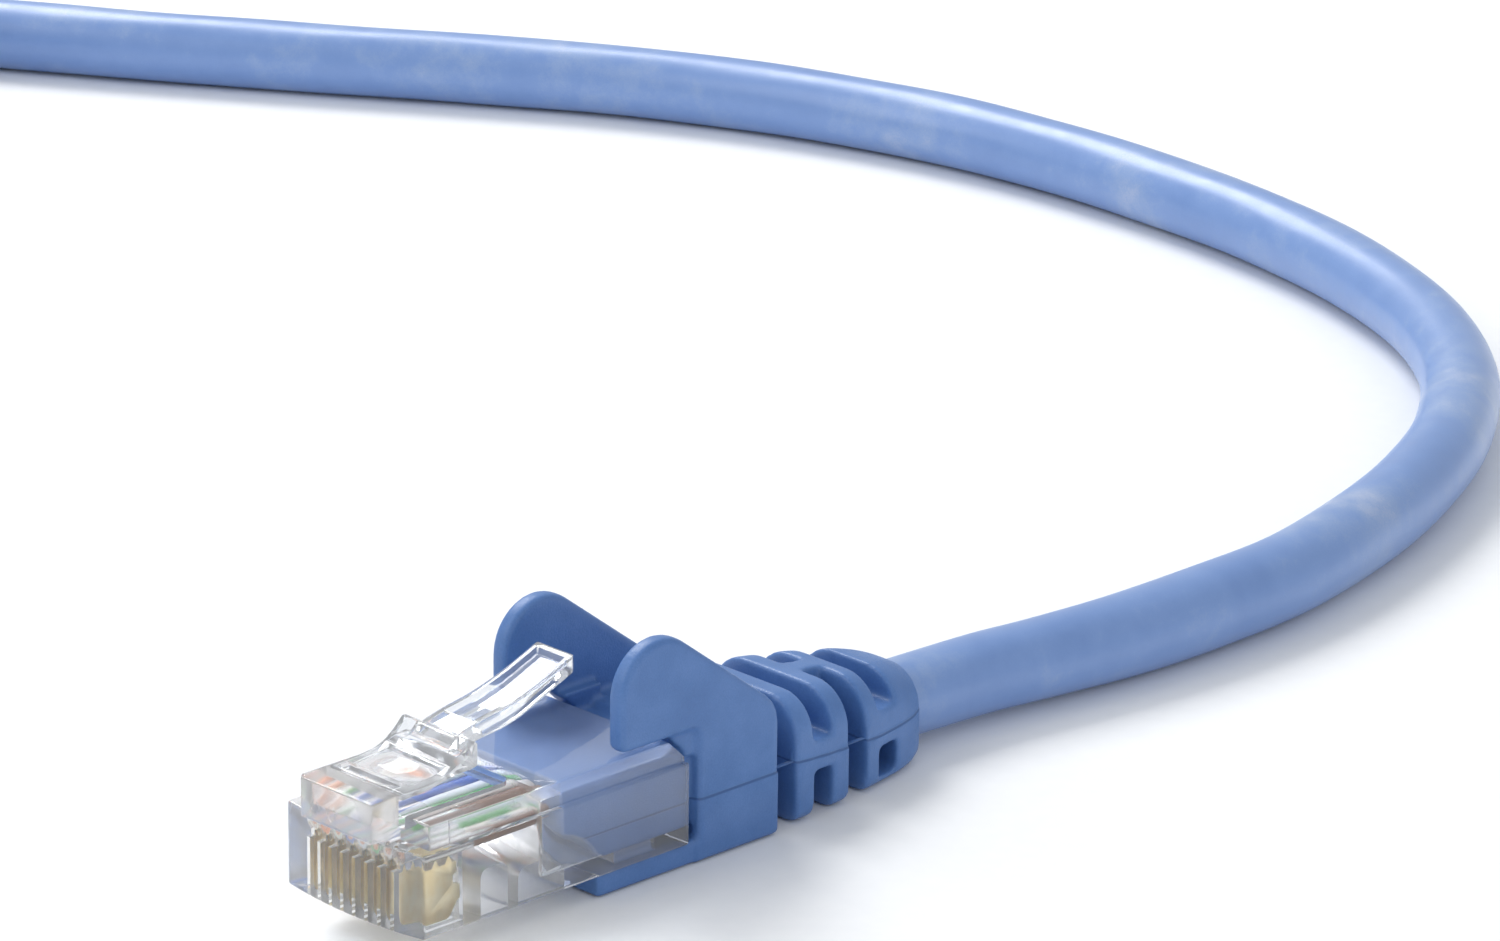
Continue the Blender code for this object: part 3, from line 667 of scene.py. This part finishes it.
def housing_mesh():
    """Clear housing: bowed body, nose, railed deck, slots, conductor channels and rear cavity."""
    body = prism("housing", front_outline(), "Z", 0.0, 5.2, 0.18, 3)
    deck = prism("deck", [(2.2, 4.4), (2.2, 6.72), (21.0, 6.72), (22.3, 5.5), (22.3, 4.4)],
                 "X", -5.52, 5.52, 0.13, 3)
    trough_outline = [(-3.45, 1.0), (3.45, 1.0), *arc((2.75, 9.7), 0.7, 0, 90, 6),
                      *arc((-2.75, 9.7), 0.7, 90, 180, 6)]
    trough = prism("trough", trough_outline, "Z", 5.9, 8.0)
    rail_lines = [box(f"rail_line_{side}", (side * 5.56 - 0.11, 3.68, 5.3),
                      (side * 5.56 + 0.11, 3.76, 7.0)) for side in (-1, 1)]
    combine(deck, [trough, *rail_lines], "DIFFERENCE")
    nose = prism("nose", [(0.0, 5.4), (0.0, 7.85), (2.15, 7.95), (2.15, 5.85), (3.0, 5.85),
                          (3.0, 4.4), (1.0, 4.4), (1.0, 5.4)], "X", -3.05, 3.05, 0.12, 3)
    marks = []
    for index, x in enumerate((-1.78, -0.35)):
        rim, core = ([(x + 0.75 * a, 6.32 + b) for a, b in arc((0, 0), radius, 0, 345, 23)]
                     for radius in (0.50, 0.36))
        outer = prism(f"mark_{index}", rim, "Y", -0.5, 0.07)
        marks.append(combine(outer, [prism(f"mark_core_{index}", core, "Y", -0.6, 0.2)], "DIFFERENCE"))
    combine(nose, marks, "DIFFERENCE")
    combine(body, [deck, nose], "UNION")

    tools = []
    for index in range(CONTACTS):
        x = contact_x(index)
        tools.append(prism(f"slot_{index}", [(-1.0, -1.0), (-1.0, 3.7), (1.95, 3.7), (1.95, 4.2),
                                             (5.45, 4.2), (5.45, -1.0)], "X", x - 0.145, x + 0.145))
        for name, radius, front, rear in (("loose", 0.505, 1.98, 6.2), ("snug", 0.455, 5.9, 11.4)):
            channel = [(x + a, WIRE_HEIGHT + b) for a, b in arc((0, 0), radius, 0, 337.5, 15)]
            tools.append(prism(f"{name}_{index}", channel, "Y", front, rear))
    tools.append(box("cavity", (-4.88, 11.0, 1.04), (4.88, 24.0, 5.73), 0.2, 2))
    tools.append(round_slot("window", 4.4, 9.4, 13.0, -1.0, 2.0, 0.7))
    tools.append(round_slot("keyhole", 3.7, 17.2, 20.4, -1.0, 1.4, 0.2))
    tools.append(round_slot("pocket", 4.4, 6.5, 8.6, -1.0, 2.7, 0.6))
    combine(body, tools, "DIFFERENCE")
    mesh = baked(body)
    frost(mesh, 12.3, [((-4.5, 6.4, -0.1), (4.5, 13.1, 2.75)), ((-3.2, -0.1, 5.35), (3.2, 2.3, 8.0)),
                       ((-4.1, 1.9, 4.4), (4.1, 6.25, 5.1)),
                       ((-5.6, 2.0, 5.25), (-5.4, 12.3, 6.65)), ((5.4, 2.0, 5.25), (5.6, 12.3, 6.65))])
    return to_metres(mesh)


def frost(mesh, split, regions):
    """Give faces whose middles lie in any of these boxes the second material, after a cut at one y."""
    shape = bmesh.new()
    shape.from_mesh(mesh)
    bmesh.ops.bisect_plane(shape, geom=[*shape.verts, *shape.edges, *shape.faces],
                           plane_co=(0.0, split, 0.0), plane_no=(0.0, 1.0, 0.0))
    shape.to_mesh(mesh)
    shape.free()
    for face in mesh.polygons:
        for low, high in regions:
            if all(a <= b <= c for a, b, c in zip(low, face.center, high)):
                face.material_index = 1


def latch_mesh():
    """Clear latch, drawn about its hinge: web, ramped plate, two lock shoulders and a rimmed lever."""
    plate_top = smooth_line([(HINGE_Y, 7.96, 0), (3.8, 7.98, 0), (5.5, 8.10, 0), (6.4, 8.42, 0),
                             (7.1, 8.88, 0), (7.62, 9.38, 0)], 3)[:, :2]
    plate_bottom = smooth_line([(7.6, 7.94, 0), (6.0, 7.88, 0), (4.5, 7.58, 0), (HINGE_Y, 7.48, 0)],
                               3)
    hinge = arc((HINGE_Y, HINGE_Z), 0.24, 270, 90, 8)[1:-1]
    plate_outline = [*hinge, *map(tuple, plate_top), (7.85, 9.56), (8.06, 9.54), (8.18, 9.42),
                     (8.18, 8.05), *map(tuple, plate_bottom[:, :2])]
    plate = prism("latch", plate_outline, "X", -3.05, 3.05, 0.09, 2, 55.0)
    lever_top = smooth_line([(7.7, 9.5, 0), (9.5, 9.93, 0), (11.8, 10.33, 0), (14.0, 10.92, 0),
                             (15.7, 11.55, 0), (17.1, 12.1, 0)], 4)[:, :2]
    lever_bottom = smooth_line([(16.4, 10.76, 0), (14.7, 10.1, 0), (12.8, 9.36, 0), (11.2, 9.0, 0),
                                (9.5, 8.82, 0), (7.4, 8.3, 0)], 4)[:, :2]
    lever_outline = [(7.4, 9.0), *map(tuple, lever_top), (17.25, 11.95), (17.25, 11.1),
                     *map(tuple, lever_bottom)]
    lever = prism("lever", lever_outline, "X", -1.62, 1.62, 0.14, 3, 50.0)
    ends = []
    for side in (-1, 1):
        corner = [(side * 1.2, 17.4), (side * 1.75, 16.75), (side * 2.2, 16.75), (side * 2.2, 17.8),
                  (side * 1.2, 17.8)]
        ends.append(prism(f"end_{side}", corner, "Z", 10.0, 13.0))
    combine(lever, ends, "DIFFERENCE")
    combine(plate, [lever], "UNION")

    recess = smooth_line([(9.5, 9.50, 0), (11.8, 9.90, 0), (14.0, 10.49, 0), (15.7, 11.12, 0),
                          (16.7, 11.52, 0)], 4)[:, :2]
    tools = [prism("recess", [*map(tuple, recess), (16.75, 13.5), (9.45, 13.5)], "X", -1.2, 1.2)]
    hollow = smooth_line([(10.2, 9.12, 0), (12.8, 9.62, 0), (14.7, 10.34, 0), (16.0, 10.88, 0)], 4)
    tools.append(prism("hollow", [*map(tuple, hollow[:, :2]), (16.1, 7.5), (10.2, 7.5)],
                       "X", -0.75, 0.75))
    tools.append(box("web", (-2.2, 2.42, 7.70), (2.2, 3.05, 8.6), 0.05, 1))
    panel = [(3.45, 7.86), (6.15, 8.04), (6.3, 8.18), (6.3, 9.2), (3.45, 9.2)]
    tools.append(prism("panel", panel, "X", -2.45, 2.45))
    for side in (-1, 1):
        low, high = sorted((side * 1.72, side * 2.62))
        tools.append(box(f"pit_{side}", (low, 6.95, 8.72), (high, 7.85, 10.2), 0.12, 2))
    combine(plate, tools, "DIFFERENCE")
    mesh = baked(plate)
    mesh.transform(Matrix.Translation((0.0, -HINGE_Y, -HINGE_Z)))
    return to_metres(mesh)


def contact_mesh():
    """Gold contact blade: rounded toe, stepped heel and three piercing tines."""
    top, tip = 3.55, 3.94
    outline = [*arc((2.35, 0.95), 0.6, 270, 180, 6), (1.75, top)]
    for tine in (2.15, 3.15, 4.15):
        outline += [(tine, top), (tine + 0.22, tip), (tine + 0.32, tip), (tine + 0.55, top)]
    outline += [(4.95, top), (5.02, 3.45), (5.02, 2.95), (4.72, 2.75), (4.72, 2.3), (5.25, 2.15),
                (5.25, 1.35), (5.0, 1.2), (4.5, 0.5), (4.25, 0.35)]
    blade = prism("contact", outline, "X", -0.15, 0.15, 0.03, 2, 30.0)
    return to_metres(baked(blade), 30.0)


def conductor_mesh(index):
    """Insulated conductor that wanders slightly in its channel, with a bare end at the front."""
    front, rear, radius, sides = 2.1, 12.5, 0.47, 20
    rings = []
    profile = [(front, 0.22), (front, radius - 0.07), (front + 0.05, radius)]
    profile += [(y, radius) for y in np.linspace(front + 0.7, rear - 0.1, 20)]
    profile += [(rear, radius - 0.05)]
    for y, reach in profile:
        drift_x = 0.018 * math.sin(1.1 * y + 2.3 * index)
        drift_z = 0.018 * math.sin(0.8 * y + 1.7 * index)
        rings.append([(drift_x + a, y, drift_z + b)
                      for a, b in arc((0, 0), reach, 0, 360 - 360 / sides, sides - 1)])
    return to_metres(baked(loft("conductor", rings)), 40.0)


# ---------------------------------------------------------------- boot

RELIEF_STATIONS = [28.6, 30.4, 34.0, 38.0, 40.0, 42.0, 43.2, 44.0, 44.6]
RELIEF_HALF_WIDTHS = [5.30, 5.45, 5.30, 4.85, 4.50, 4.10, 3.70, 3.30, 2.95]
RELIEF_TOPS = [6.20, 6.35, 6.15, 5.75, 5.45, 5.15, 4.85, 4.55, 4.25]
RELIEF_BOTTOMS = [-1.45, -1.45, -1.45, -1.45, -1.45, -1.45, -1.43, -1.40, -1.38]
RELIEF_CORNERS = [2.4, 2.4, 2.6, 2.8, 2.8, 2.8, 2.7, 2.5, 2.3]
SIDE_SLOTS = [(29.5, 31.6), (36.5, 38.1)]
LEVEL_SLOTS = [(33.2, 34.9), (39.5, 41.3)]
CORE_STATIONS = [28.5, 36.0, 39.4, 43.6]
CORE_RADII = [3.2, 2.9, 2.35, 2.35]
CORE_HEIGHTS = [1.8, 1.7, 1.45, 1.45]


def relief_ring(station):
    """Return one section of the strain relief."""
    half_width, top, bottom, corner = (
        float(np.interp(station, RELIEF_STATIONS, values))
        for values in (RELIEF_HALF_WIDTHS, RELIEF_TOPS, RELIEF_BOTTOMS, RELIEF_CORNERS))
    foot = 0.9
    points = arc((half_width - corner, top - corner), corner, 0, 90, 10)
    points += arc((corner - half_width, top - corner), corner, 90, 180, 10)
    points += arc((foot - half_width, bottom + foot), foot, 180, 270, 5)
    points += arc((half_width - foot, bottom + foot), foot, 270, 360, 5)
    return [(x, station, z) for x, z in points]


def relief_body():
    """Return the strain relief with two slots cut right down its sides and two bridged at mid height."""
    stations = np.linspace(RELIEF_STATIONS[0], RELIEF_STATIONS[-1], 41)
    body = loft("relief", [relief_ring(station) for station in stations])
    tools = []
    for index, (front, rear) in enumerate(SIDE_SLOTS):
        tools += [box(f"side_slot_{index}_{low}", (low, front, -3.0), (low + 7.2, rear, 8.0))
                  for low in (-8.0, 0.8)]
    for index, ((front, rear), low, floor) in enumerate(zip(LEVEL_SLOTS, (1.45, 1.1), (-3.0, -0.85))):
        tools.append(box(f"upper_slot_{index}", (-8.0, front, 3.4), (8.0, rear, 8.0)))
        tools.append(box(f"lower_slot_{index}", (-8.0, front, floor), (8.0, rear, low)))
    return combine(body, tools, "DIFFERENCE")


def cheek_outline():
    """Return the side outline of a cheek: the boot's side with the ear that rises over the latch."""
    front, rear, crest_radius, crest_top, slope = 17.1, 30.0, 3.2, 13.3, math.radians(37)
    crest = arc((front + crest_radius, crest_top - crest_radius), crest_radius, 180, 53, 24)
    slope_end = crest[-1][1] - (rear - 1.0 - crest[-1][0]) * math.tan(slope)
    return [(23.3, 6.95), (front + 0.45, 6.95), (front + 0.13, 7.08), (front, 7.4), *crest,
            (rear - 1.0, slope_end), (rear - 0.4, slope_end - 0.6), (rear - 0.1, slope_end - 1.2),
            (rear, slope_end - 1.9), (rear, BOOT_UNDERSIDE), (23.3, BOOT_UNDERSIDE)]


def boot_parts():
    """Return the overlapping solids that make up the boot."""
    parts = [box("shell", (-5.0, 23.35, -1.43), (5.0, 29.9, 6.15), 0.2, 2)]
    for side in (-1, 1):
        low, high = sorted((side * 4.35, side * 5.6))
        parts.append(prism(f"cheek_{side}", cheek_outline(), "X", low, high, 0.34, 3, 60.0))
    insert = [(12.6, 5.77), (12.6, 3.1), (13.6, 2.8), (14.3, 2.4), (14.8, 1.95), (15.4, 1.1),
              (16.0, 1.0), (24.0, 1.0), (24.0, 5.77)]
    parts.append(prism("insert", insert, "X", -4.92, 4.92, 0.1, 2))
    parts.append(box("key", (-3.6, 17.3, -0.5), (3.6, 20.3, 1.5)))
    parts.append(box("sole", (-5.55, 15.3, BOOT_UNDERSIDE), (5.55, 24.0, 0.03), 0.18, 2))
    for side in (-1, 1):
        low, high = sorted((side * 3.6, side * 5.3))
        brow = [(22.45, 5.3), (24.2, 5.3), (24.2, 7.05), (21.2, 7.05), (21.2, 6.85), (22.45, 5.65)]
        parts.append(prism(f"brow_{side}", brow, "X", low, high))
    core = [[(x, y, z) for x, z in arc((0.0, height), radius, 0, 352.5, 47)]
            for y, radius, height in zip(CORE_STATIONS, CORE_RADII, CORE_HEIGHTS)]
    parts.append(loft("core", core))
    parts.append(relief_body())
    return parts


def fuse(body):
    """Turn all of a body's overlapping solids into one skin."""
    modifier = body.modifiers.new("fuse", "REMESH")
    modifier.mode = "VOXEL"
    modifier.voxel_size = BOOT_VOXEL


def fused_boot():
    """Return the boot's solids as one soft-edged moulding with an open collar."""
    joined = bmesh.new()
    for part in boot_parts():
        joined.from_mesh(baked(part))
    mesh = bpy.data.meshes.new("boot")
    joined.to_mesh(mesh)
    joined.free()
    body = add_object("boot", mesh)
    fuse(body)
    bore = prism("bore", [(a, b + 1.44) for a, b in arc((0, 0), 2.62, 0, 352.5, 47)], "Y", 42.9, 46.0)
    combine(body, [bore], "DIFFERENCE")
    fuse(body)
    mesh = baked(body)
    body = add_object("boot", mesh)
    relief = body.vertex_groups.new(name="relief")
    relief.add([vertex.index for vertex in mesh.vertices if vertex.co.y > 30.4], 1.0, "REPLACE")
    for group, iterations in (("", BOOT_SMOOTHING), ("relief", RELIEF_SMOOTHING)):
        smooth = body.modifiers.new("smooth", "SMOOTH")
        smooth.factor = 0.5
        smooth.iterations = iterations
        smooth.vertex_group = group
    return baked(body)


def step_out_below_parting(mesh):
    """Widen the boot a little below its parting line, behind the housing, and keep its underside flat."""
    step, step_height = 0.11, 0.06
    front, front_fade, middle_half_width = 23.15, 0.1, 2.5
    lip_half_width, lip_front, lip_rear, lip_step = 5.05, 23.0, 23.6, 0.07
    points = np.empty(len(mesh.vertices) * 3)
    mesh.vertices.foreach_get("co", points)
    points = points.reshape(-1, 3)
    parting = np.interp(points[:, 1], PARTING_LINE[:2], PARTING_LINE[2:])
    below = np.clip((parting - points[:, 2]) / step_height + 0.5, 0.0, 1.0)
    behind = np.clip((points[:, 1] - front) / front_fade, 0.0, 1.0)
    outside = behind * np.clip(np.abs(points[:, 0]) - middle_half_width, 0, 1)
    points[:, 0] += np.sign(points[:, 0]) * step * below * outside
    on_lip = (points[:, 1] > lip_front) & (points[:, 1] < lip_rear)
    points[:, 1] -= lip_step * below * ((np.abs(points[:, 0]) > lip_half_width) & on_lip)
    points[:, 2] = np.maximum(points[:, 2], BOOT_UNDERSIDE)
    mesh.vertices.foreach_set("co", points.ravel())


def flash_webs():
    """Return the thin webs of flash left across the slots that run right down the sides."""
    inset, half_thickness, half_height, overlap = 0.45, 0.14, 0.05, 0.35
    webs = []
    for side in (-1, 1):
        for front, rear in SIDE_SLOTS:
            station = (front + rear) / 2
            middle = side * (float(np.interp(station, RELIEF_STATIONS, RELIEF_HALF_WIDTHS)) - inset)
            height = float(np.interp(station, PARTING_LINE[:2], PARTING_LINE[2:]))
            webs.append(box("flash", (middle - half_thickness, front - overlap, height - half_height),
                            (middle + half_thickness, rear + overlap, height + half_height), 0.03, 1))
    return webs


def boot_mesh():
    """Blue boot with its parting line and flash."""
    mesh = fused_boot()
    step_out_below_parting(mesh)
    body = add_object("boot", mesh)
    thin = body.modifiers.new("thin", "DECIMATE")
    thin.ratio = BOOT_FACES_KEPT
    combine(body, flash_webs(), "UNION")
    return to_metres(baked(body), 0.0)


# ---------------------------------------------------------------- assembly

def plug_place(side):
    """Return where a plug's own frame stands."""
    low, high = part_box(f"{side}_housing")
    return Vector(((low.x + high.x) / 2, low.y, low.z))


def stand(name, mesh, materials, side, node, body, offset=(0.0, 0.0, 0.0)):
    """Put a piece in a plug in place of its CAD node."""
    piece = add_object(f"{side}_{name}", mesh)
    piece.location = plug_place(side) + Vector(offset) * MM
    if not mesh.materials:
        for material in materials:
            mesh.materials.append(material)
    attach(piece, body)
    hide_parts(f"{side}_{node}")
    return piece


def build_plugs():
    """Stand every plug piece at both ends; return the far plug's pieces."""
    housing, latch, boot, contact = housing_mesh(), latch_mesh(), boot_mesh(), contact_mesh()
    clear = clear_plastic("clear_plastic", (0.95, 0.962, 0.985), 0.90, 0.02, 0.08)
    frosted = clear_plastic("frosted_plastic", (0.86, 0.85, 0.85), 0.84, 0.14, 0.24)
    blue, gold, bare = boot_plastic(), contact_gold(), copper()
    conductors = []
    for index, (colour, base, stripe) in enumerate(CONDUCTORS):
        mesh = conductor_mesh(index)
        mesh.materials.append(insulation(colour, base, stripe))
        mesh.materials.append(bare)
        front_face = max(mesh.polygons, key=lambda face: -face.center.y if len(face.vertices) > 4 else -1)
        front_face.material_index = 1
        conductors.append(mesh)
    made = {}
    for side in SIDES:
        pieces = [
            stand("shell", housing, (clear, frosted), side, "housing", ROOT),
            stand("clip", latch, (clear,), side, "latch", f"{side}_latch",
                  (0.0, HINGE_Y, HINGE_Z)),
            stand("moulding", boot, (blue,), side, "boot", ROOT),
        ]
        for index, (colour, _, _) in enumerate(CONDUCTORS):
            x = contact_x(index)
            pieces.append(stand(f"blade_{index + 1}", contact, (gold,), side, f"contact_{index + 1}",
                                ROOT, (x, 0.0, 0.0)))
            pieces.append(stand(f"conductor_{index + 1}", conductors[index], (), side,
                                f"wire_{index + 1}", ROOT, (x, 0.0, WIRE_HEIGHT)))
        made[side] = pieces
    return made["far"]


def add_light(name, place, target, size, power):
    """Hang a square light that faces a point."""
    data = bpy.data.lights.new(name, "AREA")
    data.shape = "SQUARE"
    data.size = size
    data.energy = power
    light = bpy.data.objects.new(name, data)
    bpy.context.scene.collection.objects.link(light)
    light.location = place
    aim = Vector(target) - Vector(place)
    light.rotation_euler = aim.to_track_quat("-Z", "Y").to_euler()


def build_studio():
    """Lay the floor and hang the lights."""
    shape = bmesh.new()
    bmesh.ops.create_grid(shape, x_segments=8, y_segments=8, size=FLOOR_REACH)
    mesh = bpy.data.meshes.new("floor")
    shape.to_mesh(mesh)
    shape.free()
    floor = add_object("floor", mesh)
    floor.location.z = FLOOR_HEIGHT
    mesh.materials.append(floor_paper())
    for light in LIGHTS:
        add_light(*light)
    world = bpy.data.worlds.new("studio")
    world.use_nodes = True
    background = world.node_tree.nodes["Background"]
    background.inputs["Color"].default_value = SKY_COLOUR
    background.inputs["Strength"].default_value = SKY_STRENGTH
    bpy.context.scene.world = world
    bpy.context.scene.view_settings.view_transform = "Standard"


build_camera()
cable, centre_line = build_cable(jacket_plastic())
strap = build_strap(strap_fabric())
far_pieces = build_plugs()
build_studio()

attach(cable, ROOT)
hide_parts("cable_lead", "cable_coil", "cable_tail")
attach(strap, ROOT)
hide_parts("cable_tie")
